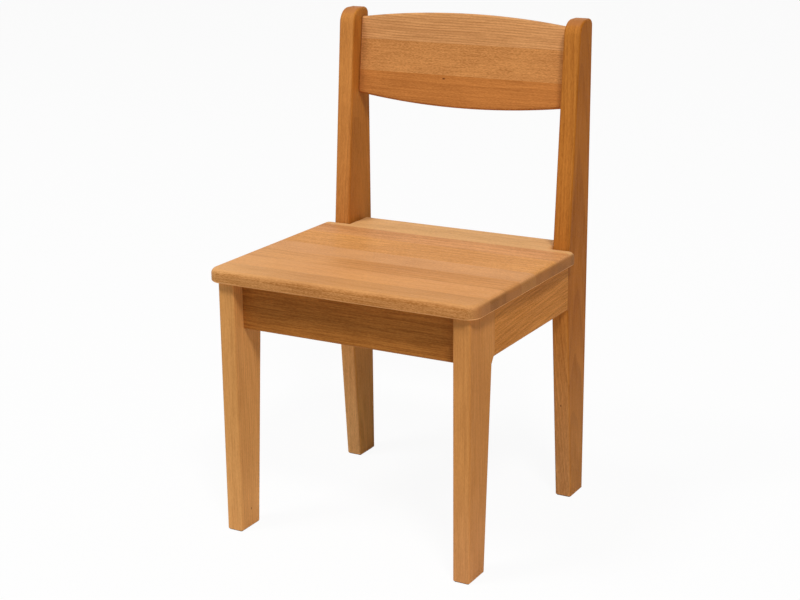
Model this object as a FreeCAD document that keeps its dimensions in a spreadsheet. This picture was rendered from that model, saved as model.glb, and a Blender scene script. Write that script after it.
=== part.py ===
import FreeCAD, Part
import Sketcher
import math
import os

# A child's chair of solid, oiled hardwood. Two flush side frames, each a front leg, a side apron
# and a rear post sawn from one board thickness, are joined by a front and a rear apron, a seat
# glued up from staves and a lens-shaped backrest of three staves. The aprons are tenoned into legs
# and posts, the backrest is dowelled, and the seat is screwed on from below through corner blocks.
# +Z is up, the chair faces -Y, and the origin is on the floor under the middle of its outline.

doc = FreeCAD.newDocument("child_chair")
sheet = doc.addObject("Spreadsheet::Sheet", "dims")

drivingSizes = {
    "overall_depth": 311,
    "frame_width": 310,
    "board_thickness": 20,
    "arris_round": 3,
    "foot_chamfer": 1.5,
    "seat_height": 310,
    "seat_width": 330,
    "seat_depth": 295,
    "seat_thickness": 15,
    "seat_overhang": 8,
    "seat_top_round": 6,
    "seat_under_chamfer": 1.5,
    "seat_corner_round": 16,
    "seat_rear_corner_round": 8,
    "notch_gap": 0.5,
    "stave_width": 37,
    "wide_stave_width": 57,
    "rear_stave_width": 55,
    "leg_depth": 58,
    "leg_foot_depth": 37,
    "leg_ear": 5,
    "leg_ear_drop": 6.5,
    "leg_ear_land": 0.5,
    "post_height": 565,
    "post_depth": 56,
    "post_foot_depth": 36,
    "post_top_depth": 35,
    "post_top_front_round": 18,
    "post_top_rear_round": 8,
    "apron_height": 57,
    "apron_setback": 18,
    "back_centre_height": 510,
    "back_setback": 16,
    "back_tilt": 6.5,
    "back_thickness": 16,
    "back_half_height": 54.5,
    "back_end_half_height": 45,
    "back_upper_joint": 19.5,
    "back_lower_joint": -17.5,
    "back_end_chamfer": 2,
    "tenon_thickness": 8,
    "tenon_shoulder": 8,
    "cross_tenon_length": 12,
    "side_tenon_length": 20,
    "dowel_diameter": 8,
    "dowel_length": 30,
    "dowel_in_post": 13,
    "dowel_spacing": 62,
    "block_leg": 44,
    "block_tip": 12,
    "block_height": 40,
    "screw_diameter": 4,
    "screw_head_diameter": 8,
    "screw_head_height": 2.5,
    "screw_length": 50,
    "screw_from_corner": 17,
}


# A size knows its number and the sheet expression that it comes from.
class Size:
    def __init__(self, number, text):
        self.number = number
        self.text = text

    def __add__(self, other):
        other = asSize(other)
        return Size(self.number + other.number, f"({self.text} + {other.text})")

    def __sub__(self, other):
        other = asSize(other)
        return Size(self.number - other.number, f"({self.text} - {other.text})")

    def __mul__(self, other):
        other = asSize(other)
        return Size(self.number * other.number, f"({self.text} * {other.text})")

    def __truediv__(self, other):
        other = asSize(other)
        return Size(self.number / other.number, f"({self.text} / {other.text})")

    def __neg__(self):
        return Size(-self.number, f"(0 - {self.text})")


def asSize(value):
    return value if isinstance(value, Size) else Size(float(value), f"({value})")


for row, (alias, number) in enumerate(drivingSizes.items(), start=1):
    sheet.set(f"A{row}", alias)
    sheet.set(f"B{row}", str(number))
    sheet.setAlias(f"B{row}", alias)
doc.recompute()
size = {alias: Size(float(sheet.get(alias)), f"dims.{alias}") for alias in drivingSizes}

# Places that several pieces share
thickness = size["board_thickness"]
outerX = size["frame_width"] / 2
innerX = outerX - thickness
seatFrontY = -(size["overall_depth"] / 2)
postRearY = size["overall_depth"] / 2
legFrontY = seatFrontY + size["seat_overhang"]
legJointY = legFrontY + size["leg_depth"]
postFrontY = postRearY - size["post_depth"]
seatTopZ = size["seat_height"]
seatUnderZ = seatTopZ - size["seat_thickness"]
apronUnderZ = seatUnderZ - size["apron_height"]
frontApronY = legFrontY + size["apron_setback"]
rearApronY = postRearY - size["apron_setback"] - thickness
sides = {"left": -1, "right": 1}
boardX = {"left": -outerX, "right": innerX}
near = 0.01
nodes = {}


def bind(item, prop, value):
    item.setExpression(prop, asSize(value).text)


def place(item, x, y, z):
    for axis, value in zip("xyz", (x, y, z)):
        bind(item, f"Placement.Base.{axis}", value)


def flatPoint(point):
    return FreeCAD.Vector(asSize(point[0]).number, asSize(point[1]).number, 0)


# Ties one point of a sketch to its two sizes, measured from the sketch's origin.
def pinPoint(sketch, curve, end, point):
    for kind, axis, value in zip(("DistanceX", "DistanceY"), (-2, -1), point):
        value = asSize(value)
        if abs(value.number) < near:
            sketch.addConstraint(Sketcher.Constraint("PointOnObject", curve, end, axis))
            continue
        constraint = Sketcher.Constraint(kind, -1, 1, curve, end, value.number)
        index = sketch.addConstraint(constraint)
        sketch.setExpression(f"Constraints[{index}]", value.text)


# Which end of a sketch curve lies at the point: 1 its start, 2 its end.
def endAt(sketch, curve, point):
    return 1 if sketch.getPoint(curve, 1).distanceToPoint(flatPoint(point)) < near else 2


# A closed outline on one of the body's own planes, through the points in turn. The runs are
# straight, or arcs where bulges gives the middle point of the run with that number.
def outline(body, role, points, bulges=None):
    bulges = bulges or {}
    sketch = body.newObject("Sketcher::SketchObject", f"{body.Name}_outline")
    plane = next(item for item in body.Origin.OriginFeatures if item.Role == role)
    sketch.AttachmentSupport = (plane, [""])
    sketch.MapMode = "FlatFace"
    following = points[1:] + points[:1]
    for run, (start, end) in enumerate(zip(points, following)):
        if run in bulges:
            curve = Part.Arc(flatPoint(start), flatPoint(bulges[run]), flatPoint(end))
        else:
            curve = Part.LineSegment(flatPoint(start), flatPoint(end))
        sketch.addGeometry(curve)
    for run, point in enumerate(points):
        before = run - 1 if run else len(points) - 1
        pinPoint(sketch, run, endAt(sketch, run, point), point)
        sketch.addConstraint(Sketcher.Constraint(
            "Coincident", run, endAt(sketch, run, point), before, endAt(sketch, before, point)
        ))
    for run, middle in bulges.items():
        marker = sketch.addGeometry(Part.Point(flatPoint(middle)), True)
        pinPoint(sketch, marker, 1, middle)
        sketch.addConstraint(Sketcher.Constraint("PointOnObject", marker, 1, run))
    return sketch


def pad(body, sketch, length, reverse=False):
    feature = body.newObject("PartDesign::Pad", f"{body.Name}_pad")
    feature.Profile = sketch
    feature.Reversed = reverse
    bind(feature, "Length", length)
    doc.recompute()


# Dresses the body's edges that the test picks, all with one size.
def dressEdges(body, kind, prop, value, picks):
    base = body.Tip
    names = [f"Edge{number}" for number, edge in enumerate(base.Shape.Edges, 1) if picks(edge)]
    feature = body.newObject(f"PartDesign::{kind}", f"{body.Name}_{kind.lower()}")
    feature.Base = (base, names)
    bind(feature, prop, value)
    doc.recompute()


def roundEdges(body, radius, picks):
    dressEdges(body, "Fillet", "Radius", radius, picks)


def chamferEdges(body, width, picks):
    dressEdges(body, "Chamfer", "Size", width, picks)


# True if the edge lies wholly at one value of an axis.
def lies(edge, axis, value):
    low = getattr(edge.BoundBox, f"{axis}Min")
    high = getattr(edge.BoundBox, f"{axis}Max")
    return abs(low - asSize(value).number) < near and abs(high - asSize(value).number) < near


# Picks the edges through the thickness at the given corners of a board's profile.
def cornersAt(firstAxis, secondAxis, corners):
    def picks(edge):
        return any(lies(edge, firstAxis, a) and lies(edge, secondAxis, b) for a, b in corners)
    return picks


def isStraight(edge):
    return edge.Curve.TypeId == "Part::GeomLine"


def onBoardFace(edge):
    return lies(edge, "X", 0) or lies(edge, "X", thickness)


# Keeps a finished piece under its own name, with its mortises or holes cut out.
def finish(label, solid, *cutters):
    for number, cutter in enumerate(cutters, 1):
        cut = doc.addObject("Part::Cut", f"{label}_cut{number}")
        cut.Base = solid
        cut.Tool = cutter
        solid = cut
    solid.Label = label
    nodes[label] = solid


# Tenons: one bar runs through each apron and stands out at both ends, and cuts its own mortises

tenonHeight = size["apron_height"] - size["tenon_shoulder"] * 2
tenonInset = thickness / 2 - size["tenon_thickness"] / 2


def tenonBar(name, lengths, corner):
    bar = doc.addObject("Part::Box", name)
    for prop, value in zip(("Length", "Width", "Height"), lengths):
        bind(bar, prop, value)
    place(bar, *corner)
    return bar


def crossTenons(end, apronY):
    reach = innerX + size["cross_tenon_length"]
    lengths = (reach * 2, size["tenon_thickness"], tenonHeight)
    corner = (-reach, apronY + tenonInset, apronUnderZ + size["tenon_shoulder"])
    return tenonBar(f"{end}_apron_tenons", lengths, corner)


def sideTenons(side):
    start = legJointY - size["side_tenon_length"]
    end = postFrontY + size["side_tenon_length"]
    lengths = (size["tenon_thickness"], end - start, tenonHeight)
    corner = (boardX[side] + tenonInset, start, apronUnderZ + size["tenon_shoulder"])
    return tenonBar(f"{side}_side_apron_tenons", lengths, corner)


apronY = {"front": frontApronY, "rear": rearApronY}
crossBars = {end: crossTenons(end, y) for end, y in apronY.items()}
sideBars = {side: sideTenons(side) for side in sides}


def withTenons(board, bar):
    fused = doc.addObject("Part::Fuse", f"{bar.Name}_fused")
    fused.Base = board
    fused.Tool = bar
    return fused


# The backrest's own plane leans back. A spot is given up and through the board from the middle of
# its front face, and comes back as a height and a depth in the chair.
tilt = size["back_tilt"]
tiltSine = Size(math.sin(math.radians(tilt.number)), f"sin({tilt.text})")
tiltCosine = Size(math.cos(math.radians(tilt.number)), f"cos({tilt.text})")
postLean = (size["post_depth"] - size["post_top_depth"]) / (size["post_height"] - seatTopZ)
backRise = size["back_centre_height"] - seatTopZ
backFrontY = postFrontY + postLean * backRise + size["back_setback"]


def onBack(up, through):
    y = backFrontY + tiltSine * up + tiltCosine * through
    z = size["back_centre_height"] + tiltCosine * up - tiltSine * through
    return y, z


# Backrest dowels: two at each end, along X at the middle of the board's thickness

def dowel(name, x, y, z):
    pin = doc.addObject("Part::Cylinder", name)
    bind(pin, "Radius", size["dowel_diameter"] / 2)
    bind(pin, "Height", size["dowel_length"])
    alongX = FreeCAD.Rotation(FreeCAD.Vector(0, 0, 1), FreeCAD.Vector(1, 0, 0))
    pin.Placement = FreeCAD.Placement(FreeCAD.Vector(), alongX)
    place(pin, x, y, z)
    return pin


dowelEnd = innerX + size["dowel_in_post"]
dowelX = {"left": -dowelEnd, "right": dowelEnd - size["dowel_length"]}
dowelUp = {"low": -(size["dowel_spacing"] / 2), "high": size["dowel_spacing"] / 2}
backDowels = doc.addObject("Part::Compound", "backrest_dowels")
backDowels.Links = [
    dowel(f"backrest_dowel_{side}_{level}", x, *onBack(up, size["back_thickness"] / 2))
    for side, x in dowelX.items() for level, up in dowelUp.items()
]
finish("backrest_dowels", backDowels)

# Seat screws: pan heads under the corner blocks, ends up in the seat

blockUnderZ = seatUnderZ - size["block_height"]
blockY = {"front": frontApronY + thickness, "rear": rearApronY}
inward = {"front": 1, "rear": -1}


def screw(name, x, y):
    parts = []
    for part, diameter, length, z in (
        ("head", "screw_head_diameter", size["screw_head_height"], -size["screw_head_height"]),
        ("shank", "screw_diameter", size["screw_length"], 0),
    ):
        cylinder = doc.addObject("Part::Cylinder", f"{name}_{part}")
        bind(cylinder, "Radius", size[diameter] / 2)
        bind(cylinder, "Height", length)
        place(cylinder, x, y, blockUnderZ + z)
        parts.append(cylinder)
    fused = doc.addObject("Part::Fuse", name)
    fused.Base, fused.Tool = parts
    return fused


seatScrews = doc.addObject("Part::Compound", "seat_screws")
seatScrews.Links = [
    screw(f"{end}_{side}_seat_screw", (innerX - size["screw_from_corner"]) * sign,
          y + size["screw_from_corner"] * inward[end])
    for end, y in blockY.items() for side, sign in sides.items()
]
finish("seat_screws", seatScrews)

# Front legs: straight front edge, rear edge tapering to the foot, and a small slanting ear that
# carries the underside of the side apron into the leg

earTopY = size["leg_depth"] - size["leg_ear_land"]
earFootY = size["leg_depth"] - size["leg_ear"]
earFootZ = apronUnderZ - size["leg_ear_drop"]

for side in sides:
    body = doc.addObject("PartDesign::Body", f"front_{side}_leg_body")
    sketch = outline(body, "YZ_Plane", [
        (0, 0), (0, seatUnderZ), (size["leg_depth"], seatUnderZ),
        (size["leg_depth"], apronUnderZ), (earTopY, apronUnderZ),
        (earFootY, earFootZ), (size["leg_foot_depth"], 0),
    ])
    pad(body, sketch, thickness)
    roundEdges(body, size["arris_round"], lambda edge: onBoardFace(edge) and not (
        lies(edge, "Z", 0) or lies(edge, "Z", seatUnderZ) or lies(edge, "Y", size["leg_depth"])
    ))
    chamferEdges(body, size["foot_chamfer"], lambda edge: lies(edge, "Z", 0))
    place(body, boardX[side], legFrontY, 0)
    finish(f"front_{side}_leg", body, crossBars["front"], sideBars[side])

# Rear posts: straight rear edge, widest at the seat, tapering to the foot and to a rounded top.
# The long edges are rounded, and the flush joint with the side apron is filled square again.

for side in sides:
    body = doc.addObject("PartDesign::Body", f"rear_{side}_post_body")
    footY = -size["post_foot_depth"]
    topY = -size["post_top_depth"]
    seatY = -size["post_depth"]
    sketch = outline(body, "YZ_Plane", [
        (0, 0), (footY, 0), (seatY, apronUnderZ), (seatY, seatTopZ),
        (topY, size["post_height"]), (0, size["post_height"]),
    ])
    pad(body, sketch, thickness)
    topFront = [(topY, size["post_height"])]
    topRear = [(0, size["post_height"])]
    roundEdges(body, size["post_top_front_round"], cornersAt("Y", "Z", topFront))
    roundEdges(body, size["post_top_rear_round"], cornersAt("Y", "Z", topRear))
    roundEdges(body, size["arris_round"],
               lambda edge: onBoardFace(edge) and not lies(edge, "Z", 0))
    chamferEdges(body, size["foot_chamfer"], lambda edge: lies(edge, "Z", 0))
    joint = outline(body, "YZ_Plane", [
        (seatY, apronUnderZ), (seatY, seatUnderZ),
        (seatY / 2, seatUnderZ), (seatY / 2, apronUnderZ),
    ])
    pad(body, joint, thickness)
    place(body, boardX[side], postRearY, 0)
    finish(f"rear_{side}_post", body, crossBars["rear"], sideBars[side], backDowels)

# Aprons: boards with their lower edges rounded and a tenon at each end

for end, y in apronY.items():
    body = doc.addObject("PartDesign::Body", f"{end}_apron_body")
    height = size["apron_height"]
    sketch = outline(body, "YZ_Plane", [(0, 0), (thickness, 0), (thickness, height), (0, height)])
    pad(body, sketch, innerX * 2)
    lowerEdges = cornersAt("Y", "Z", [(0, 0), (thickness, 0)])
    roundEdges(body, size["arris_round"], lowerEdges)
    place(body, -innerX, y, apronUnderZ)
    finish(f"{end}_apron", withTenons(body, crossBars[end]))

for side in sides:
    body = doc.addObject("PartDesign::Body", f"{side}_side_apron_body")
    length = postFrontY - legJointY
    height = size["apron_height"]
    sketch = outline(body, "YZ_Plane", [(0, 0), (length, 0), (length, height), (0, height)])
    pad(body, sketch, thickness)
    roundEdges(body, size["arris_round"], lambda edge: onBoardFace(edge) and lies(edge, "Z", 0))
    place(body, boardX[side], legJointY, apronUnderZ)
    finish(f"{side}_side_apron", withTenons(body, sideBars[side]))

# Corner blocks, glued into the four corners under the seat

for end, y in blockY.items():
    for side, sign in sides.items():
        body = doc.addObject("PartDesign::Body", f"{end}_{side}_corner_block_body")
        leg = size["block_leg"]
        tip = size["block_tip"]
        sketch = outline(body, "XY_Plane", [
            (0, 0), (leg * -sign, 0), (leg * -sign, tip * inward[end]),
            (tip * -sign, leg * inward[end]), (0, leg * inward[end]),
        ])
        pad(body, sketch, size["block_height"])
        place(body, innerX * sign, y, blockUnderZ)
        finish(f"{end}_{side}_corner_block", body, seatScrews)

# Seat: staves running across the chair, numbered from the front. The first has the rounded front
# corners, and the last is notched round the posts and ends in a tongue between them.

halfSeat = size["seat_width"] / 2
plainWidths = [size["stave_width"]] * 3 + [size["wide_stave_width"], size["stave_width"]]
rearStart = seatFrontY + size["seat_depth"] - size["rear_stave_width"]
frontWidth = size["seat_depth"] - size["rear_stave_width"] - size["wide_stave_width"]
frontWidth = frontWidth - size["stave_width"] * 4


def seatStave(number, points, startY, cutters, corners, isOuter):
    body = doc.addObject("PartDesign::Body", f"seat_stave_{number}_body")
    sketch = outline(body, "XY_Plane", points)
    pad(body, sketch, size["seat_thickness"])
    for radius, spots in corners:
        roundEdges(body, radius, cornersAt("X", "Y", spots))
    roundEdges(body, size["seat_top_round"],
               lambda edge: lies(edge, "Z", size["seat_thickness"]) and isOuter(edge))
    chamferEdges(body, size["seat_under_chamfer"],
                 lambda edge: lies(edge, "Z", 0) and isOuter(edge))
    place(body, 0, startY, seatUnderZ)
    finish(f"seat_stave_{number}", body, *cutters)


frontPoints = [(-halfSeat, 0), (halfSeat, 0), (halfSeat, frontWidth), (-halfSeat, frontWidth)]
frontCorners = [(size["seat_corner_round"], [(-halfSeat, 0), (halfSeat, 0)])]
seatStave(1, frontPoints, seatFrontY, [], frontCorners,
          lambda edge: not lies(edge, "Y", frontWidth))

staveY = seatFrontY + frontWidth
for number, width in enumerate(plainWidths, 2):
    points = [(-halfSeat, 0), (halfSeat, 0), (halfSeat, width), (-halfSeat, width)]
    cutters = [seatScrews] if number == 2 else []
    seatStave(number, points, staveY, cutters, [],
              lambda edge: lies(edge, "X", halfSeat) or lies(edge, "X", -halfSeat))
    staveY = staveY + width

notchY = postFrontY - size["notch_gap"] - rearStart
notchX = innerX - size["notch_gap"]
rearWidth = size["rear_stave_width"]
rearPoints = [
    (-halfSeat, 0), (halfSeat, 0), (halfSeat, notchY), (notchX, notchY),
    (notchX, rearWidth), (-notchX, rearWidth), (-notchX, notchY), (-halfSeat, notchY),
]
rearCorners = [(size["seat_rear_corner_round"], [(halfSeat, notchY), (-halfSeat, notchY)])]
seatStave(7, rearPoints, rearStart, [seatScrews], rearCorners,
          lambda edge: not lies(edge, "Y", 0))

# Backrest: three staves that together make a lens, standing between the posts

endHalf = size["back_end_half_height"]
midHalf = size["back_half_height"]
upper = size["back_upper_joint"]
lower = size["back_lower_joint"]
backStaves = {
    "upper": (upper, endHalf, {2: (0, midHalf)}, [upper]),
    "middle": (lower, upper, {}, [lower, upper]),
    "lower": (-endHalf, lower, {0: (0, -midHalf)}, [lower]),
}

for name, (low, high, bulges, joints) in backStaves.items():
    body = doc.addObject("PartDesign::Body", f"backrest_{name}_stave_body")
    points = [(-innerX, low), (innerX, low), (innerX, high), (-innerX, high)]
    sketch = outline(body, "XZ_Plane", points, bulges)
    pad(body, sketch, size["back_thickness"], reverse=True)
    if bulges:
        roundEdges(body, size["arris_round"], lambda edge: not isStraight(edge))
    chamferEdges(body, size["back_end_chamfer"], lambda edge: (
        (lies(edge, "X", innerX) or lies(edge, "X", -innerX))
        and not any(lies(edge, "Z", joint) for joint in joints)
    ))
    turn = FreeCAD.Rotation(FreeCAD.Vector(-1, 0, 0), tilt.number)
    body.Placement = FreeCAD.Placement(FreeCAD.Vector(), turn)
    place(body, 0, backFrontY, size["back_centre_height"])
    cutters = [] if name == "middle" else [backDowels]
    finish(f"backrest_{name}_stave", body, *cutters)

# Checks and files

doc.recompute()
for item in doc.Objects:
    bad = [state for state in item.State if state in ("Invalid", "Error")]
    if bad:
        raise RuntimeError(f"{item.Label} is {bad}")
os.makedirs("parts", exist_ok=True)
for label, item in nodes.items():
    shape = item.Shape
    if shape.isNull() or not shape.isValid() or not shape.Solids:
        raise RuntimeError(f"{label} has no valid solid")
    shape.exportStep(f"parts/{label}.step")
    print(f"{label}: {len(shape.Solids)} solid(s), {shape.Volume / 1000:.2f} cm3")
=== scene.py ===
# A child's chair of oiled beech: finishes, small hardware, studio and camera.
import math

import bpy
from mathutils import Matrix, Vector


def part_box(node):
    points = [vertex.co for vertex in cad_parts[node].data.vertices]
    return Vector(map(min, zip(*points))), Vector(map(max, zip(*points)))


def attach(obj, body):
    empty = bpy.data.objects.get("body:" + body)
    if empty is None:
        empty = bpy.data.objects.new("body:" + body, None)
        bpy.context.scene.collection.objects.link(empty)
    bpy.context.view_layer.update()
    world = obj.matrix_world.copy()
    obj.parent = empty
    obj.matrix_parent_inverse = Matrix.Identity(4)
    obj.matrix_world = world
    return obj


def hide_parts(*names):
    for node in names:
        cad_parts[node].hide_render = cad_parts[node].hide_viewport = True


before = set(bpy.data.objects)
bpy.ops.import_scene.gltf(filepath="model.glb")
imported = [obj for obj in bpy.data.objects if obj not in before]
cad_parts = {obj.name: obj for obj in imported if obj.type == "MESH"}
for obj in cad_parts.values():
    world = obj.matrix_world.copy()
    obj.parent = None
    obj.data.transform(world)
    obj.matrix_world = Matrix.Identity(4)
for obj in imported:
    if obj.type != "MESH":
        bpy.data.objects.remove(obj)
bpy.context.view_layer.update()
scene = bpy.context.scene
print("frame loaded:", len(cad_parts), "solids")

mm = 0.001
white = (1.0, 1.0, 1.0, 1.0)


# sRGB hex to linear
def linear(hexCode):
    parts = [int(hexCode[i:i + 2], 16) / 255 for i in (1, 3, 5)]
    parts = [p / 12.92 if p <= 0.04045 else ((p + 0.055) / 1.055) ** 2.4 for p in parts]
    return (*parts, 1.0)


# adds one node; inputs are values or sockets, by the input's name or number
def addNode(tree, kind, inputs=None, **settings):
    node = tree.nodes.new(kind)
    for name, value in settings.items():
        setattr(node, name, value)
    for key, value in (inputs or {}).items():
        if isinstance(value, bpy.types.NodeSocket):
            tree.links.new(value, node.inputs[key])
        else:
            node.inputs[key].default_value = value
    return node


def newMaterial(name):
    material = bpy.data.materials.new(name)
    material.use_nodes = True
    material.node_tree.nodes.clear()
    return material, material.node_tree


def dress(node, material):
    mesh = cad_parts[node].data
    mesh.materials.clear()
    mesh.materials.append(material)


# a unit vector away from the chair: turned to the right of its front, and up, in degrees
def direction(turn, rise):
    turn, rise = math.radians(turn), math.radians(rise)
    level = math.cos(rise)
    return Vector((math.sin(turn) * level, -math.cos(turn) * level, math.sin(rise)))


# Beech, sanded and oiled: a satin honey-brown with soft growth rings, fine fibre lines, short
# dark ray flecks on the long faces and a duller, greyer end grain on the sawn ends.
beech = {
    "ringWidth": 3.6,                # mm from one growth ring to the next
    "ringWander": 9.0,               # mm that a ring strays sideways
    "ringDetail": 1.2,
    "ringLevels": (0.30, 0.72),      # noise levels that become 0 and 1
    "lineSpan": (0.45, 0.97),        # where in a ring its dark line rises, in ring widths
    "noiseRoughness": 0.55,
    "paleLift": (1.25, 1.31, 1.37),  # the palest wood over the board's tone
    "deepDrop": (0.75, 0.69, 0.63),  # the deepest wood over the board's tone
    "endTone": "#C07C45",
    "endDrop": 0.62,                 # the deepest end grain over the end tone
    "endPores": 0.55,                # weight of the pores beside the clouds on end grain
    "endContrast": 0.6,
    "knotTone": "#6A3A1C",
    "knotStretch": 2.0,              # a knot's length along the grain over its width
    "knotCore": 0.35,                # share of a knot that is fully dark
    "roughness": (0.44, 0.58),
    "ior": 1.47,                     # hardened oil
    "gloss": 0.04,                   # specular level, a thin oil film soaked in
    "relief": 0.06,                  # mm, fibres and open pores
    "reliefStrength": 0.6,
    "endTurn": (0.55, 0.95),         # how squarely a surface faces the grain to be end grain
    "frontTurn": (0.45, 0.95),       # how squarely it faces front or rear to be a front face
    "arrisBand": 0.12,               # how far a lower arris may tilt from 45 degrees
    "arrisAlong": 0.4,               # how much of its painted shading an arris along the grain takes
    "seedSteps": (7.3, 3.1, 5.7),    # moves each board to another stretch of wood
    "ringSeedStep": 13.0,
}

# length along the grain and width across it in mm, noise detail, and the noise levels that
# become 0 and 1; fibres and flecks are drawn about twice as wide as real ones, to show
beechPatterns = {
    "wander": (230.0, 48.0, 2.0, 0.0, 1.0),
    "fibre": (40.0, 1.0, 3.0, 0.35, 0.67),
    "fleck": (3.4, 0.55, 1.0, 0.38, 0.62),
    "cloud": (110.0, 45.0, 2.0, 0.30, 0.70),
    "pore": (1.4, 1.4, 2.0, 0.35, 0.70),
}

# how much each pattern deepens the tone
beechShares = {"ring": 0.20, "line": 0.14, "fibre": 0.32, "fleck": 0.46, "cloud": 0.22}

# how high a pattern lies on average, where that is not half
beechMeans = {"line": 0.28}

# the object's axes in the order along the grain, across the board, through it
grainOrder = {"X": (0, 1, 2), "Y": (1, 0, 2), "Z": (2, 1, 0)}


def beechMaterial(name, node, look, seed):
    material, tree = newMaterial(name)
    order = grainOrder[look["along"]]
    low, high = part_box(node)
    centre = [(low[axis] + high[axis]) / 2 / mm for axis in order]
    place = addNode(tree, "ShaderNodeTexCoord")
    apart = addNode(tree, "ShaderNodeSeparateXYZ", {0: place.outputs["Object"]})
    turned = addNode(tree, "ShaderNodeCombineXYZ", {
        slot: apart.outputs[axis] for slot, axis in enumerate(order)
    })
    # millimetres from the middle of the board, grain along the first axis
    board = addNode(tree, "ShaderNodeVectorMath", {
        0: turned.outputs[0], 1: (1 / mm,) * 3, 2: [-value for value in centre],
    }, operation="MULTIPLY_ADD").outputs[0]

    noise = {}
    level = {}
    seedPlace = [seed * step for step in beech["seedSteps"]]
    for number, (pattern, values) in enumerate(beechPatterns.items()):
        length, width, detail, start, end = values
        scaled = addNode(tree, "ShaderNodeVectorMath", {
            0: board, 1: (1 / length, 1 / width, 1 / width),
            2: (seedPlace[0] + number, seedPlace[1], seedPlace[2]),
        }, operation="MULTIPLY_ADD")
        noise[pattern] = addNode(tree, "ShaderNodeTexNoise", {
            "Vector": scaled.outputs[0], "Scale": 1.0, "Detail": detail,
            "Roughness": beech["noiseRoughness"],
        })
        level[pattern] = addNode(tree, "ShaderNodeMapRange", {
            "Value": noise[pattern].outputs["Fac"], "From Min": start, "From Max": end,
        }, interpolation_type="SMOOTHSTEP").outputs[0]

    # growth rings round a pith beside the board, which may lean against it
    along = addNode(tree, "ShaderNodeSeparateXYZ", {0: board}).outputs[0]
    leaned = addNode(tree, "ShaderNodeVectorMath", {
        0: along, 1: (0.0, *look.get("lean", (0.0, 0.0))), 2: board,
    }, operation="MULTIPLY_ADD")
    strayed = addNode(tree, "ShaderNodeVectorMath", {
        0: noise["wander"].outputs["Color"],
        1: (0.0, beech["ringWander"], beech["ringWander"]), 2: leaned.outputs[0],
    }, operation="MULTIPLY_ADD")
    fromPith = addNode(tree, "ShaderNodeVectorMath", {
        0: strayed.outputs[0], 1: (0.0, 1.0, 1.0), 2: (0.0, -look["pith"][0], -look["pith"][1]),
    }, operation="MULTIPLY_ADD")
    radius = addNode(tree, "ShaderNodeVectorMath", {0: fromPith.outputs[0]}, operation="LENGTH")
    ringCount = addNode(tree, "ShaderNodeMath", {
        0: radius.outputs["Value"], 1: 1 / look.get("ringWidth", beech["ringWidth"]),
        2: seed * beech["ringSeedStep"],
    }, operation="MULTIPLY_ADD")
    noise["ring"] = addNode(tree, "ShaderNodeTexNoise", {
        "W": ringCount.outputs[0], "Scale": 1.0, "Detail": beech["ringDetail"],
    }, noise_dimensions="1D")
    # each ring ends in a thin dark line
    within = addNode(tree, "ShaderNodeMath", {0: ringCount.outputs[0]}, operation="FRACT")
    for pattern, source, (start, end) in (
        ("ring", noise["ring"].outputs["Fac"], beech["ringLevels"]),
        ("line", within.outputs[0], beech["lineSpan"]),
    ):
        level[pattern] = addNode(tree, "ShaderNodeMapRange", {
            "Value": source, "From Min": start, "From Max": end,
        }, interpolation_type="SMOOTHSTEP").outputs[0]

    # long faces: from pale to deep as the patterns add up, half-way on average
    shares = {key: share * look.get(key, 1.0) for key, share in beechShares.items()}
    depth = 0.5 - sum(share * beechMeans.get(key, 0.5) for key, share in shares.items())
    for pattern, share in shares.items():
        depth = addNode(tree, "ShaderNodeMath", {
            0: level[pattern], 1: share, 2: depth,
        }, operation="MULTIPLY_ADD").outputs[0]
    tone = linear(look["tone"])
    pale = [min(1.0, part * lift) for part, lift in zip(tone, beech["paleLift"])]
    deep = [part * drop for part, drop in zip(tone, beech["deepDrop"])]
    colour = addNode(tree, "ShaderNodeMix", {
        0: depth, 6: (*pale, 1.0), 7: (*deep, 1.0),
    }, data_type="RGBA").outputs[2]

    # sawn ends: duller, with open pores
    endPale = linear(look.get("endTone", beech["endTone"]))
    endDeep = [part * beech["endDrop"] for part in endPale[:3]]
    endFigure = addNode(tree, "ShaderNodeMath", {
        0: level["pore"], 1: beech["endPores"], 2: level["cloud"],
    }, operation="MULTIPLY_ADD")
    endDepth = addNode(tree, "ShaderNodeMath", {
        0: endFigure.outputs[0], 1: beech["endContrast"],
    }, operation="MULTIPLY")
    endColour = addNode(tree, "ShaderNodeMix", {
        0: endDepth.outputs[0], 6: endPale, 7: (*endDeep, 1.0),
    }, data_type="RGBA").outputs[2]

    # which way the surface faces: along the grain, to the front or rear
    facing = addNode(tree, "ShaderNodeSeparateXYZ", {0: place.outputs["Normal"]})
    endOn = addNode(tree, "ShaderNodeMath", {0: facing.outputs[order[0]]}, operation="ABSOLUTE")
    frontOn = addNode(tree, "ShaderNodeMath", {0: facing.outputs[1]}, operation="ABSOLUTE")
    isEnd, isFront = [
        addNode(tree, "ShaderNodeMapRange", {
            "Value": squareOn.outputs[0], "From Min": start, "From Max": end,
        }, interpolation_type="SMOOTHSTEP")
        for squareOn, (start, end) in ((endOn, beech["endTurn"]), (frontOn, beech["frontTurn"]))
    ]
    colour = addNode(tree, "ShaderNodeMix", {
        0: isEnd.outputs[0], 6: colour, 7: endColour,
    }, data_type="RGBA").outputs[2]
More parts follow.
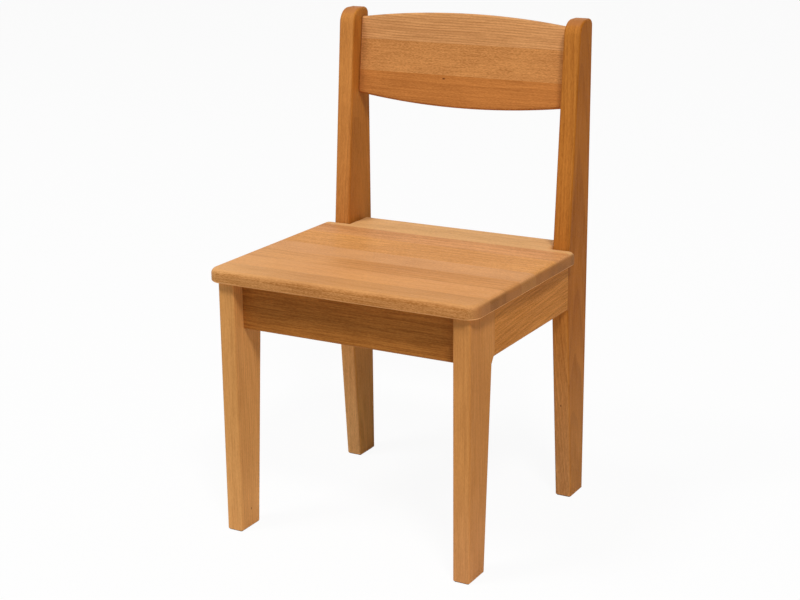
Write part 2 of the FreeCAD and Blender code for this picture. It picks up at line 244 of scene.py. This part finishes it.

    # painted light and shade: a lighter low or left half of the board, lit or shaded front and
    # rear faces, lit or shaded lower arrises
    lowHalf = addNode(tree, "ShaderNodeMapRange", {
        "Value": along, "From Min": 0.0, "From Max": (low - high)[order[0]] / 2 / mm,
    }, interpolation_type="SMOOTHSTEP")
    figure = addNode(tree, "ShaderNodeMath", {
        0: level["fibre"], 1: level["fleck"],
    }, operation="ADD").outputs[0]
    streaks = addNode(tree, "ShaderNodeMapRange", {
        "Value": figure, "From Max": 2.0, "To Min": 1.0 - look.get("frontStreaks", 0.0),
    })
    paintedFrontMask = addNode(tree, "ShaderNodeMath", {
        0: isFront.outputs[0], 1: streaks.outputs[0],
    }, operation="MULTIPLY")
    slant = math.sqrt(0.5)
    isUnder = addNode(tree, "ShaderNodeMath", {
        0: facing.outputs[2], 1: -slant, 2: beech["arrisBand"],
    }, operation="COMPARE")
    atEnds = addNode(tree, "ShaderNodeMapRange", {
        "Value": endOn.outputs[0], "From Max": slant, "To Min": beech["arrisAlong"],
    })
    isArris = addNode(tree, "ShaderNodeMath", {
        0: isUnder.outputs[0], 1: atEnds.outputs[0],
    }, operation="MULTIPLY")
    for amount, tint in ((lowHalf, "paintedEndLight"), (paintedFrontMask, "paintedFrontLight"), (isArris, "paintedArrisShading")):
        colour = addNode(tree, "ShaderNodeMix", {
            0: amount.outputs[0], 6: colour, 7: (*look.get(tint, white[:3]), 1.0),
        }, data_type="RGBA", blend_type="MULTIPLY").outputs[2]

    # pin knots, drawn out along the grain
    squeeze = 1 / beech["knotStretch"]
    for spot, size in look.get("knots", ()):
        middle = [spot[axis] - part for axis, part in zip(order, centre)]
        away = addNode(tree, "ShaderNodeVectorMath", {
            0: board, 1: (squeeze, 1.0, 1.0),
            2: (-middle[0] * squeeze, -middle[1], -middle[2]),
        }, operation="MULTIPLY_ADD")
        reach = addNode(tree, "ShaderNodeVectorMath", {0: away.outputs[0]}, operation="LENGTH")
        isKnot = addNode(tree, "ShaderNodeMapRange", {
            "Value": reach.outputs["Value"], "From Min": size,
            "From Max": size * beech["knotCore"],
        }, interpolation_type="SMOOTHSTEP")
        colour = addNode(tree, "ShaderNodeMix", {
            0: isKnot.outputs[0], 6: colour, 7: linear(beech["knotTone"]),
        }, data_type="RGBA").outputs[2]

    smooth, dry = look.get("roughness", beech["roughness"])
    rough = addNode(tree, "ShaderNodeMapRange", {
        "Value": level["fibre"], "To Min": smooth, "To Max": dry,
    })
    relief = addNode(tree, "ShaderNodeBump", {
        "Strength": beech["reliefStrength"], "Distance": beech["relief"] * mm, "Height": figure,
    }, invert=True)
    surface = addNode(tree, "ShaderNodeBsdfPrincipled", {
        "Base Color": colour, "Roughness": rough.outputs[0], "IOR": beech["ior"],
        "Specular IOR Level": beech["gloss"], "Normal": relief.outputs[0],
    })
    addNode(tree, "ShaderNodeOutputMaterial", {0: surface.outputs[0]})
    return material


# what all legs share: the lower arrises of their feet are darkened, painted shade
leg = {"along": "Z", "paintedArrisShading": (0.32, 0.28, 0.25)}

# what all seat staves share: their lower arrises are lighter, a painted highlight
seatStave = {"along": "X", "paintedArrisShading": (1.55, 1.65, 1.75)}

# The boards. along: grain direction; tone: the wood's colour under plain light (the front apron's
# darkened with painted shade); pith: where it lay, in mm from the board's middle (across the
# board, through it);
# lean: how far it strays from the grain, per mm along it;
# ring, line, fibre, fleck, cloud: how strong a pattern is, where not as in beechShares;
# the low or left end's tint: painted light; the front and rear faces' tint: painted light and
# shade;
# frontStreaks: how much of that tint comes in streaks; knots: place and radius, in mm.
boards = {
    "front_left_leg": {
        **leg, "tone": "#D59755", "pith": (160, 40), "ring": 0.5, "fleck": 0.4,
        "paintedEndLight": (1.14, 1.18, 1.28), "paintedFrontLight": (0.94, 0.95, 0.98),
        "knots": [((-135, -127.4, 22), 1.0)],
    },
    "front_right_leg": {
        **leg, "tone": "#D18B48", "pith": (-150, -60),
        "ring": 0.4, "line": 0.5, "fibre": 0.8, "fleck": 0.4,
        "paintedEndLight": (1.04, 1.08, 1.35), "paintedFrontLight": (0.88, 0.93, 1.02),
    },
    "rear_left_post": {
        **leg, "tone": "#BE7831", "pith": (-3, 60), "lean": (0.0, -0.05),
        "ring": 0.9, "line": 0.9, "fleck": 0.5,
        "paintedEndLight": (1.40, 1.84, 2.9), "paintedFrontLight": (1.05, 1.14, 1.65),
    },
    "rear_right_post": {
        **leg, "tone": "#B06721", "pith": (4, -55), "lean": (0.0, 0.05),
        "ring": 1.2, "line": 1.3, "fibre": 1.1, "fleck": 0.5,
        "paintedEndLight": (1.31, 1.64, 3.3), "paintedFrontLight": (1.06, 1.22, 1.8),
        "knots": [((144.7, 109.6, 118), 1.0)],
    },
    "front_apron": {
        # its tone is the wood's own, darkened further: painted shade from the seat above it
        "along": "X", "tone": "#A5672C", "pith": (60, -120), "fibre": 2.2, "fleck": 0.9,
    },
    "rear_apron": {"along": "X", "tone": "#C5864A", "pith": (-50, 130)},
    "left_side_apron": {
        "along": "Y", "tone": "#CC8442", "pith": (60, 120), "lean": (0.0, 0.08),
        "ring": 1.3, "line": 1.8, "fibre": 1.5,
    },
    "right_side_apron": {
        "along": "Y", "tone": "#CC833B", "pith": (-60, -90), "lean": (0.0, -0.1),
        "ring": 1.3, "line": 1.8, "fibre": 1.5,
    },
    "seat_stave_1": {
        **seatStave, "tone": "#CE9259", "endTone": "#BE7E48", "pith": (20, -90),
        "ring": 0.2, "line": 0.4, "fibre": 0.5, "fleck": 0.5,
        # its front edge is darkened: painted shade, broken into streaks along the wood's figure
        "paintedEndLight": (1.16, 1.26, 1.38), "paintedFrontLight": (0.60, 0.49, 0.31), "frontStreaks": 0.7,
    },
    "seat_stave_2": {
        **seatStave, "tone": "#DC9C60", "endTone": "#B67740", "pith": (-30, -110),
        "ring": 0.2, "line": 0.3, "fibre": 0.4, "fleck": 0.5, "cloud": 0.5,
        "paintedEndLight": (1.02, 1.08, 1.16),
    },
    "seat_stave_3": {
        **seatStave, "tone": "#CE8F54", "endTone": "#BC7B43", "pith": (40, 80),
        "ring": 0.6, "fibre": 0.7, "fleck": 0.6, "paintedEndLight": (1.14, 1.24, 1.42),
    },
    "seat_stave_4": {
        **seatStave, "tone": "#D39761", "endTone": "#C28348", "pith": (0, -130),
        "ring": 0.7, "fibre": 0.8, "fleck": 0.8,
    },
    "seat_stave_5": {
        **seatStave, "tone": "#D69656", "endTone": "#B77740", "pith": (-60, -70), "ring": 1.2,
    },
    "seat_stave_6": {
        **seatStave, "tone": "#D2935B", "endTone": "#BF7E46", "pith": (30, 100),
    },
    "seat_stave_7": {
        **seatStave, "tone": "#DAA56B", "endTone": "#B97B44", "pith": (-20, -80),
        "ring": 0.7, "fleck": 0.7, "paintedFrontLight": (0.8, 0.75, 0.65),
    },
    "backrest_upper_stave": {
        "along": "X", "tone": "#CA905A", "pith": (12, -120), "lean": (0.0, 0.03),
        "ringWidth": 2.8, "ring": 0.8, "line": 3.2, "fibre": 1.3, "fleck": 0.6,
    },
    "backrest_middle_stave": {
        "along": "X", "tone": "#C6874C", "pith": (-90, 10), "ring": 0.6, "fleck": 1.2,
    },
    "backrest_lower_stave": {
        "along": "X", "tone": "#BB763A", "pith": (60, -60), "fleck": 0.7,
        "knots": [((-20, 129.5, 488.6), 1.3)],
    },
}
for seed, (node, look) in enumerate(boards.items(), 1):
    dress(node, beechMaterial(f"oiledBeech_{node}", node, look, seed))
print("oiled beech on", len(boards), "boards")

# Raw beech, not oiled: paler, dry and matt. The blocks are sawn and planed.
rawBeech = {"along": "X", "roughness": (0.72, 0.86)}
cornerBlock = {**rawBeech, "tone": "#D8B78E", "endTone": "#B48E68", "pith": (40, -70)}
blockSeed = 31
for seed, end in enumerate(("front", "rear"), blockSeed):
    for side in ("left", "right"):
        node = f"{end}_{side}_corner_block"
        dress(node, beechMaterial(f"rawBeech_{node}", node, cornerBlock, seed))
print("raw beech on the corner blocks")


# Small hardware, made with Geometry Nodes

socketKinds = {
    int: "NodeSocketInt", float: "NodeSocketFloat", Vector: "NodeSocketVector",
    bpy.types.Material: "NodeSocketMaterial",
}


# an empty node tree with a geometry output and the named inputs
def newTree(name, inputs):
    tree = bpy.data.node_groups.new(name, "GeometryNodeTree")
    tree.interface.new_socket("Geometry", in_out="OUTPUT", socket_type="NodeSocketGeometry")
    for key, value in inputs.items():
        tree.interface.new_socket(key, in_out="INPUT", socket_type=socketKinds[type(value)])
    return tree, addNode(tree, "NodeGroupInput").outputs


# the tree's end: one shape on every point, made real and given its material
def placeShape(tree, points, shape, material):
    spread = addNode(tree, "GeometryNodeInstanceOnPoints", {"Points": points, "Instance": shape})
    solid = addNode(tree, "GeometryNodeRealizeInstances", {0: spread.outputs[0]})
    coated = addNode(tree, "GeometryNodeSetMaterial", {
        "Geometry": solid.outputs[0], "Material": material,
    })
    addNode(tree, "NodeGroupOutput", {0: coated.outputs[0]})


# runs the tree once and keeps the result as a plain mesh in place of a solid
def bakePiece(name, tree, inputs, node):
    holder = bpy.data.objects.new(name + "Maker", bpy.data.meshes.new(name + "Maker"))
    scene.collection.objects.link(holder)
    modifier = holder.modifiers.new("maker", "NODES")
    modifier.node_group = tree
    for item in tree.interface.items_tree:
        if item.in_out == "INPUT":
            modifier[item.identifier] = inputs[item.name]
    shown = holder.evaluated_get(bpy.context.evaluated_depsgraph_get())
    mesh = bpy.data.meshes.new_from_object(shown)
    holder.modifiers.clear()
    bpy.data.objects.remove(holder)
    piece = bpy.data.objects.new(name, mesh)
    scene.collection.objects.link(piece)
    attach(piece, "root")
    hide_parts(node)
    print(name, len(mesh.polygons), "faces")


# Zinc-plated steel: bright, slightly bluish, with the fine cloudy haze of the plating bath.
zinc = {
    "tone": "#D3D6D8",
    "hazeTone": "#A9AEB2",
    "hazeSize": 0.8,                 # mm
    "hazeDetail": 3.0,
    "roughness": (0.24, 0.42),
}


def zincMaterial():
    material, tree = newMaterial("zincPlatedSteel")
    place = addNode(tree, "ShaderNodeTexCoord")
    haze = addNode(tree, "ShaderNodeTexNoise", {
        "Vector": place.outputs["Object"], "Scale": 1 / (zinc["hazeSize"] * mm),
        "Detail": zinc["hazeDetail"],
    })
    colour = addNode(tree, "ShaderNodeMix", {
        0: haze.outputs["Fac"], 6: linear(zinc["tone"]), 7: linear(zinc["hazeTone"]),
    }, data_type="RGBA")
    bright, dull = zinc["roughness"]
    rough = addNode(tree, "ShaderNodeMapRange", {
        "Value": haze.outputs["Fac"], "To Min": bright, "To Max": dull,
    })
    surface = addNode(tree, "ShaderNodeBsdfPrincipled", {
        "Base Color": colour.outputs[2], "Metallic": 1.0, "Roughness": rough.outputs[0],
    })
    addNode(tree, "ShaderNodeOutputMaterial", {0: surface.outputs[0]})
    return material


# Seat screws: domed heads with a six-lobed recess under the corner blocks, coarse wood thread
screwLow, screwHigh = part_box("seat_screws")
headDiameter = 8 * mm
headHeight = 2.5 * mm
screwSizes = {
    "Sides": 32,
    "Head Diameter": headDiameter,
    "Head Height": headHeight,
    "Head Steps": 12,
    "Dome Power": 3.5,               # a higher one keeps the head's rim straight for longer
    "Dome Drop": 0.20,               # what the dome takes off the radius, over the diameter
    "Recess Diameter": 3.6 * mm,
    "Recess Floor": 0.3,             # from under the head, as a share of its height
    "Recess Reach": 1.5,             # the cutter's far end, past the head
    "Lobes": 6,
    "Lobe Waist": 0.7,               # inner radius over outer radius
    "Lobe Round": 0.35 * mm,
    "Lobe Steps": 3,
    "Length": screwHigh.z - screwLow.z - headHeight,
    "Core Diameter": 2.7 * mm,
    "Core Steps": 26,
    "Point Start": 0.88,             # share of the length
    "Point Radius": 0.03,            # share of the core's diameter
    "Thread Diameter": 3.9 * mm,
    "Thread Pitch": 1.8 * mm,
    "Thread Length": 30 * mm,
    "Thread End": 0.9,               # share of the length
    "Turn Steps": 20,
    "Ridge Radius": 0.36,            # over the difference of thread and core diameter
    "Spacing X": screwHigh.x - screwLow.x - headDiameter,
    "Spacing Y": screwHigh.y - screwLow.y - headDiameter,
    "Under Head": Vector((0.0, (screwLow.y + screwHigh.y) / 2, screwLow.z + headHeight)),
    "Material": zincMaterial(),
}


def screwTree():
    tree, size = newTree("seatScrews", screwSizes)
    ring = addNode(tree, "GeometryNodeCurvePrimitiveCircle", {
        "Resolution": size["Sides"], "Radius": 1.0,
    })
    factor = addNode(tree, "GeometryNodeSplineParameter").outputs["Factor"]

    # head and core are turned shapes: a straight line whose radius changes along it
    headEnd = addNode(tree, "ShaderNodeMath", {
        0: size["Head Height"], 1: -1.0,
    }, operation="MULTIPLY").outputs[0]
    headEndPoint = addNode(tree, "ShaderNodeCombineXYZ", {2: headEnd})
    headLine = addNode(tree, "GeometryNodeCurvePrimitiveLine", {"End": headEndPoint.outputs[0]})
    headSteps = addNode(tree, "GeometryNodeResampleCurve", {
        "Curve": headLine.outputs[0], "Count": size["Head Steps"],
    })
    domed = addNode(tree, "ShaderNodeMath", {0: factor, 1: size["Dome Power"]}, operation="POWER")
    drop = addNode(tree, "ShaderNodeMath", {
        0: domed.outputs[0], 1: size["Dome Drop"],
    }, operation="MULTIPLY")
    headShare = addNode(tree, "ShaderNodeMath", {0: 0.5, 1: drop.outputs[0]}, operation="SUBTRACT")
    headRadius = addNode(tree, "ShaderNodeMath", {
        0: size["Head Diameter"], 1: headShare.outputs[0],
    }, operation="MULTIPLY")
    head = addNode(tree, "GeometryNodeCurveToMesh", {
        "Curve": headSteps.outputs[0], "Profile Curve": ring.outputs[0],
        "Scale": headRadius.outputs[0], "Fill Caps": True,
    })

    # six-lobed recess, cut out of the head
    recessLine = addNode(tree, "GeometryNodeCurvePrimitiveLine")
    for end, share in (("Start", "Recess Floor"), ("End", "Recess Reach")):
        depth = addNode(tree, "ShaderNodeMath", {0: headEnd, 1: size[share]}, operation="MULTIPLY")
        point = addNode(tree, "ShaderNodeCombineXYZ", {2: depth.outputs[0]})
        tree.links.new(point.outputs[0], recessLine.inputs[end])
    outer = addNode(tree, "ShaderNodeMath", {
        0: size["Recess Diameter"], 1: 0.5,
    }, operation="MULTIPLY")
    inner = addNode(tree, "ShaderNodeMath", {
        0: outer.outputs[0], 1: size["Lobe Waist"],
    }, operation="MULTIPLY")
    star = addNode(tree, "GeometryNodeCurveStar", {
        "Points": size["Lobes"], "Inner Radius": inner.outputs[0],
        "Outer Radius": outer.outputs[0],
    })
    lobes = addNode(tree, "GeometryNodeFilletCurve", {
        "Curve": star.outputs[0], "Count": size["Lobe Steps"], "Radius": size["Lobe Round"],
    }, mode="POLY")
    recess = addNode(tree, "GeometryNodeCurveToMesh", {
        "Curve": recessLine.outputs[0], "Profile Curve": lobes.outputs[0], "Fill Caps": True,
    })
    cutHead = addNode(tree, "GeometryNodeMeshBoolean", {
        "Mesh 1": head.outputs[0], "Mesh 2": recess.outputs[0],
    }, operation="DIFFERENCE")

    # core with a point
    tipPoint = addNode(tree, "ShaderNodeCombineXYZ", {2: size["Length"]})
    coreLine = addNode(tree, "GeometryNodeCurvePrimitiveLine", {"End": tipPoint.outputs[0]})
    coreSteps = addNode(tree, "GeometryNodeResampleCurve", {
        "Curve": coreLine.outputs[0], "Count": size["Core Steps"],
    })
    pointed = addNode(tree, "ShaderNodeMapRange", {
        "Value": factor, "From Min": size["Point Start"], "From Max": 1.0,
        "To Min": 0.5, "To Max": size["Point Radius"],
    })
    coreRadius = addNode(tree, "ShaderNodeMath", {
        0: size["Core Diameter"], 1: pointed.outputs[0],
    }, operation="MULTIPLY")
    core = addNode(tree, "GeometryNodeCurveToMesh", {
        "Curve": coreSteps.outputs[0], "Profile Curve": ring.outputs[0],
        "Scale": coreRadius.outputs[0], "Fill Caps": True,
    })

    # thread: a three-sided ridge wound round the core, ending just before the point
    turns = addNode(tree, "ShaderNodeMath", {
        0: size["Thread Length"], 1: size["Thread Pitch"],
    }, operation="DIVIDE")
    crest = addNode(tree, "ShaderNodeMath", {
        0: size["Thread Diameter"], 1: size["Core Diameter"],
    }, operation="SUBTRACT")
    ridge = addNode(tree, "ShaderNodeMath", {
        0: crest.outputs[0], 1: size["Ridge Radius"],
    }, operation="MULTIPLY")
    crestRadius = addNode(tree, "ShaderNodeMath", {
        0: size["Thread Diameter"], 1: 0.5,
    }, operation="MULTIPLY")
    windRadius = addNode(tree, "ShaderNodeMath", {
        0: crestRadius.outputs[0], 1: ridge.outputs[0],
    }, operation="SUBTRACT")
    winding = addNode(tree, "GeometryNodeCurveSpiral", {
        "Resolution": size["Turn Steps"], "Rotations": turns.outputs[0],
        "Start Radius": windRadius.outputs[0], "End Radius": windRadius.outputs[0],
        "Height": size["Thread Length"],
    })
    ridgeShape = addNode(tree, "GeometryNodeCurvePrimitiveCircle", {
        "Resolution": 3, "Radius": ridge.outputs[0],
    })
    wound = addNode(tree, "GeometryNodeCurveToMesh", {
        "Curve": winding.outputs[0], "Profile Curve": ridgeShape.outputs[0], "Fill Caps": True,
    })
    threadEnd = addNode(tree, "ShaderNodeMath", {
        0: size["Length"], 1: size["Thread End"],
    }, operation="MULTIPLY")
    threadStart = addNode(tree, "ShaderNodeMath", {
        0: threadEnd.outputs[0], 1: size["Thread Length"],
    }, operation="SUBTRACT")
    lift = addNode(tree, "ShaderNodeCombineXYZ", {2: threadStart.outputs[0]})
    thread = addNode(tree, "GeometryNodeTransform", {
        "Geometry": wound.outputs[0], "Translation": lift.outputs[0],
    })

    whole = addNode(tree, "GeometryNodeJoinGeometry")
    for part in (cutHead, core, thread):
        tree.links.new(part.outputs[0], whole.inputs[0])
    corners = addNode(tree, "GeometryNodeMeshGrid", {
        "Size X": size["Spacing X"], "Size Y": size["Spacing Y"],
        "Vertices X": 2, "Vertices Y": 2,
    })
    moved = addNode(tree, "GeometryNodeTransform", {
        "Geometry": corners.outputs[0], "Translation": size["Under Head"],
    })
    placeShape(tree, moved.outputs[0], whole.outputs[0], size["Material"])
    return tree


bakePiece("seatScrewSet", screwTree(), screwSizes, "seat_screws")

# Backrest dowels: fluted beech pins with eased ends, two at each end of the backrest.
# Raw beech turned and pressed to flutes: pale, dry, grain along the pin.
dowelLook = {**rawBeech, "tone": "#DDBE97", "endTone": "#C19C74", "pith": (30, 40)}
dowelSeed = 41
dowelLow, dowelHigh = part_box("backrest_dowels")
dowelRadius = 4 * mm
dowelLength = 30 * mm
dowelSizes = {
    "Radius": dowelRadius,
    "Flutes": 20,
    "Flute Depth": 0.09,             # share of the radius
    "Length": dowelLength,
    "Steps": 21,
    "Ease": 0.14,                    # share of the radius taken off at the ends
    "Ease Start": 0.44,              # from the pin's middle, as a share of its length
    "Left End": dowelLow.x,
    "Right End": dowelHigh.x - dowelLength,
    "Low Place": Vector((0.0, dowelLow.y + dowelRadius, dowelLow.z + dowelRadius)),
    "High Place": Vector((0.0, dowelHigh.y - dowelRadius, dowelHigh.z - dowelRadius)),
    "Material": beechMaterial("turnedBeech", "backrest_dowels", dowelLook, dowelSeed),
}


def dowelTree():
    tree, size = newTree("backrestDowels", dowelSizes)
    fluteFloor = addNode(tree, "ShaderNodeMath", {
        0: 1.0, 1: size["Flute Depth"],
    }, operation="SUBTRACT")
    flutes = addNode(tree, "GeometryNodeCurveStar", {
        "Points": size["Flutes"], "Inner Radius": fluteFloor.outputs[0], "Outer Radius": 1.0,
    })
    farEnd = addNode(tree, "ShaderNodeCombineXYZ", {0: size["Length"]})
    line = addNode(tree, "GeometryNodeCurvePrimitiveLine", {"End": farEnd.outputs[0]})
    steps = addNode(tree, "GeometryNodeResampleCurve", {
        "Curve": line.outputs[0], "Count": size["Steps"],
    })
    factor = addNode(tree, "GeometryNodeSplineParameter").outputs["Factor"]
    fromMiddle = addNode(tree, "ShaderNodeMath", {0: factor, 1: 0.5}, operation="SUBTRACT")
    outward = addNode(tree, "ShaderNodeMath", {0: fromMiddle.outputs[0]}, operation="ABSOLUTE")
    nearEnd = addNode(tree, "ShaderNodeMapRange", {
        "Value": outward.outputs[0], "From Min": size["Ease Start"], "From Max": 0.5,
    })
    taken = addNode(tree, "ShaderNodeMath", {
        0: nearEnd.outputs[0], 1: size["Ease"],
    }, operation="MULTIPLY")
    left = addNode(tree, "ShaderNodeMath", {0: 1.0, 1: taken.outputs[0]}, operation="SUBTRACT")
    radius = addNode(tree, "ShaderNodeMath", {
        0: left.outputs[0], 1: size["Radius"],
    }, operation="MULTIPLY")
    pin = addNode(tree, "GeometryNodeCurveToMesh", {
        "Curve": steps.outputs[0], "Profile Curve": flutes.outputs[0],
        "Scale": radius.outputs[0], "Fill Caps": True,
    })
    levels = addNode(tree, "GeometryNodeMeshLine", {
        "Count": 2, "Start Location": size["Low Place"], "Offset": size["High Place"],
    }, mode="END_POINTS")
    places = addNode(tree, "GeometryNodeJoinGeometry")
    for end in ("Left End", "Right End"):
        across = addNode(tree, "ShaderNodeCombineXYZ", {0: size[end]})
        moved = addNode(tree, "GeometryNodeTransform", {
            "Geometry": levels.outputs[0], "Translation": across.outputs[0],
        })
        tree.links.new(moved.outputs[0], places.inputs[0])
    placeShape(tree, places.outputs[0], pin.outputs[0], size["Material"])
    return tree


bakePiece("backrestDowelSet", dowelTree(), dowelSizes, "backrest_dowels")

# Studio: a white floor that runs out to white, and two soft lights at the front
studio = {
    "floorSize": 40.0,               # m
    "floorTone": "#F4F4F3",
    "toothTone": "#EEEEED",
    "toothSize": 3.0,                # mm
    "toothDetail": 2.0,
    "floorGlow": 0.94,               # share of plain white that the camera sees on the floor
    "worldFill": 0.13,
    "lampAim": (0.0, 0.0, 0.30),
}
softLights = {
    # name: turn from the chair's front, height angle, distance, size (m), watts
    "frontRight": (41.0, 50.0, 7.0, 1.3, 255.0),
    "frontLeft": (-42.0, 60.0, 7.0, 2.1, 235.0),
}


# 1 where the camera, a reflection or a see-through surface looks, so that the rest is only light
def seenFactor(tree):
    path = addNode(tree, "ShaderNodeLightPath")
    seen = path.outputs["Is Camera Ray"]
    for ray in ("Is Glossy Ray", "Is Transmission Ray"):
        seen = addNode(tree, "ShaderNodeMath", {
            0: seen, 1: path.outputs[ray],
        }, operation="MAXIMUM").outputs[0]
    return seen


# Matt white studio floor with a very fine, even tooth; it keeps a faint shadow of the chair.
def floorMaterial():
    material, tree = newMaterial("mattWhiteFloor")
    place = addNode(tree, "ShaderNodeTexCoord")
    tooth = addNode(tree, "ShaderNodeTexNoise", {
        "Vector": place.outputs["Object"], "Scale": 1 / (studio["toothSize"] * mm),
        "Detail": studio["toothDetail"],
    })
    colour = addNode(tree, "ShaderNodeMix", {
        0: tooth.outputs["Fac"], 6: linear(studio["floorTone"]), 7: linear(studio["toothTone"]),
    }, data_type="RGBA")
    paint = addNode(tree, "ShaderNodeBsdfDiffuse", {"Color": colour.outputs[2]})
    glow = addNode(tree, "ShaderNodeEmission", {"Color": white, "Strength": 1.0})
    share = addNode(tree, "ShaderNodeMath", {
        0: seenFactor(tree), 1: studio["floorGlow"],
    }, operation="MULTIPLY")
    mixed = addNode(tree, "ShaderNodeMixShader", {
        0: share.outputs[0], 1: paint.outputs[0], 2: glow.outputs[0],
    })
    addNode(tree, "ShaderNodeOutputMaterial", {0: mixed.outputs[0]})
    return material


half = studio["floorSize"] / 2
floorCorners = [(-half, -half, 0), (half, -half, 0), (half, half, 0), (-half, half, 0)]
floorMesh = bpy.data.meshes.new("floor")
floorMesh.from_pydata(floorCorners, [], [(0, 1, 2, 3)])
floor = bpy.data.objects.new("floor", floorMesh)
floorMesh.materials.append(floorMaterial())
scene.collection.objects.link(floor)

world = bpy.data.worlds.new("studio")
world.use_nodes = True
world.node_tree.nodes.clear()
fillStrength = addNode(world.node_tree, "ShaderNodeMapRange", {
    "Value": seenFactor(world.node_tree), "To Min": studio["worldFill"], "To Max": 1.0,
})
fill = addNode(world.node_tree, "ShaderNodeBackground", {
    "Color": white, "Strength": fillStrength.outputs[0],
})
addNode(world.node_tree, "ShaderNodeOutputWorld", {0: fill.outputs[0]})
scene.world = world

for name, (turn, rise, distance, size, watts) in softLights.items():
    lamp = bpy.data.lights.new(name, "AREA")
    lamp.shape = "DISK"
    lamp.size = size
    lamp.energy = watts
    toLamp = direction(turn, rise)
    light = bpy.data.objects.new(name, lamp)
    light.location = Vector(studio["lampAim"]) + toLamp * distance
    light.rotation_euler = toLamp.to_track_quat("Z", "Y").to_euler()
    scene.collection.objects.link(light)
print("studio lit")

# Camera: the photograph's side of the chair, in front, to the right and a little above
view = {
    "turn": 29.36,                   # degrees to the right of the chair's front
    "rise": 16.27,
    "roll": -0.55,
    "distance": 1.8825,              # m
    "aim": (-0.0079, -0.0010, 0.2553),
    "focalPixels": 1657.0,
    "pictureWidth": 800.0,           # pixels
    "sensorWidth": 36.0,             # mm
}
backward = direction(view["turn"], view["rise"])
rightward = direction(view["turn"] + 90, 0)
upward = backward.cross(rightward)
lens = bpy.data.cameras.new("camera")
lens.sensor_width = view["sensorWidth"]
lens.lens = view["focalPixels"] / view["pictureWidth"] * view["sensorWidth"]
camera = bpy.data.objects.new("camera", lens)
axes = Matrix((rightward, upward, backward)).transposed().to_4x4()
stand = Matrix.Translation(Vector(view["aim"]) + backward * view["distance"])
camera.matrix_world = stand @ axes @ Matrix.Rotation(math.radians(view["roll"]), 4, "Z")
scene.collection.objects.link(camera)
scene.camera = camera
print("camera set")

scene.view_settings.view_transform = "Standard"
